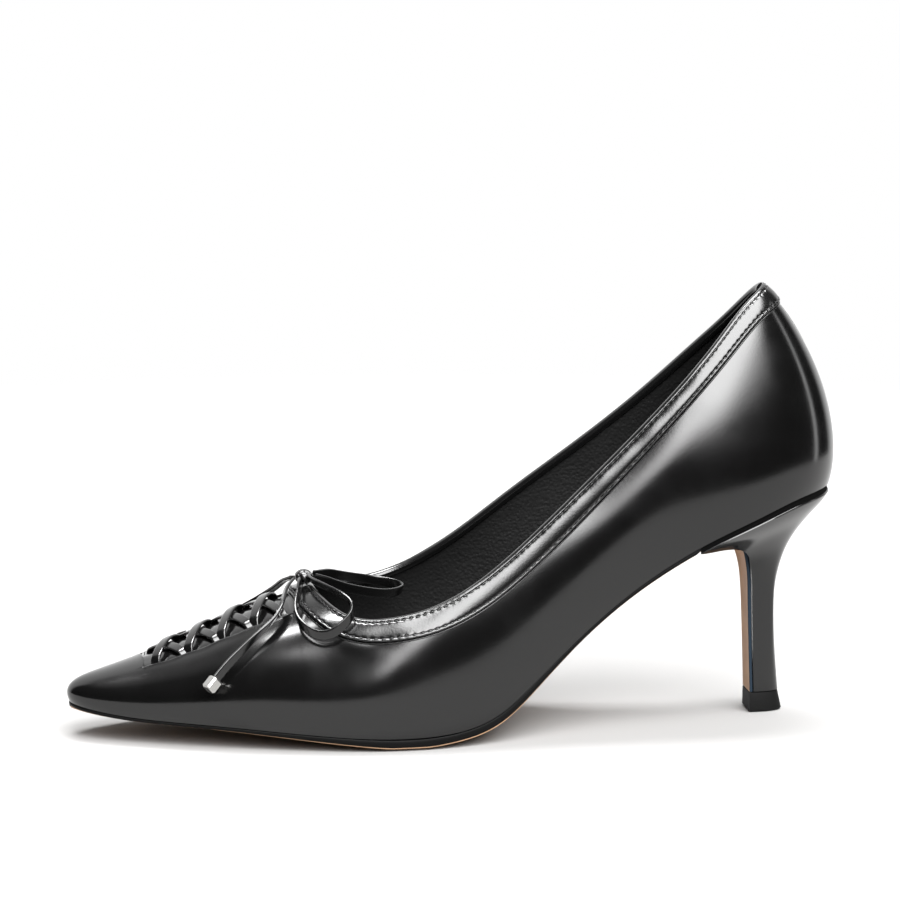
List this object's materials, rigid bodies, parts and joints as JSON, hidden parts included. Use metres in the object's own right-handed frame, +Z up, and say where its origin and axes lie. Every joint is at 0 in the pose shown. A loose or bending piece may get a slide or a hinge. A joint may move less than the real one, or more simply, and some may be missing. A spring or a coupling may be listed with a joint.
{
  "type": "high heel pump",
  "caption": "Low-cut pump with an almond toe, a slim flared heel, a laced vamp with a small bow and a stitched topline band.",
  "frame": {"origin": "middle of the shoe's length and width, on the floor that it stands on", "axes": "+X towards the heel, -X towards the toe, -Y towards the foot's outer side, +Z up"},
  "size_m": [0.238, 0.0719, 0.1344],
  "materials": {
    "upper_leather": "polished black calf leather",
    "band_leather": "polished black calf leather, twice stitched",
    "lining_leather": "black pebbled lining leather, dull",
    "sole_leather": "smooth tan sole leather with a black painted edge",
    "heel_lacquer": "black leather-look cover, glossy",
    "toplift_rubber": "matt black",
    "lace_leather": "folded glossy black leather strap",
    "tip_metal": "polished silver"
  },
  "bodies": {
    "root": {"upper": "upper_leather", "topline_band": "band_leather", "insole": "lining_leather", "outsole": "sole_leather", "heel": "heel_lacquer", "toplift": "toplift_rubber", "lace_crossings": "lace_leather", "bow_knot": "lace_leather", "bow_loop_outer": "lace_leather", "bow_loop_inner": "lace_leather", "bow_end_outer": "lace_leather", "bow_end_inner": "lace_leather", "bow_tip_outer": "tip_metal", "bow_tip_inner": "tip_metal"}
  },
  "joints": []
}
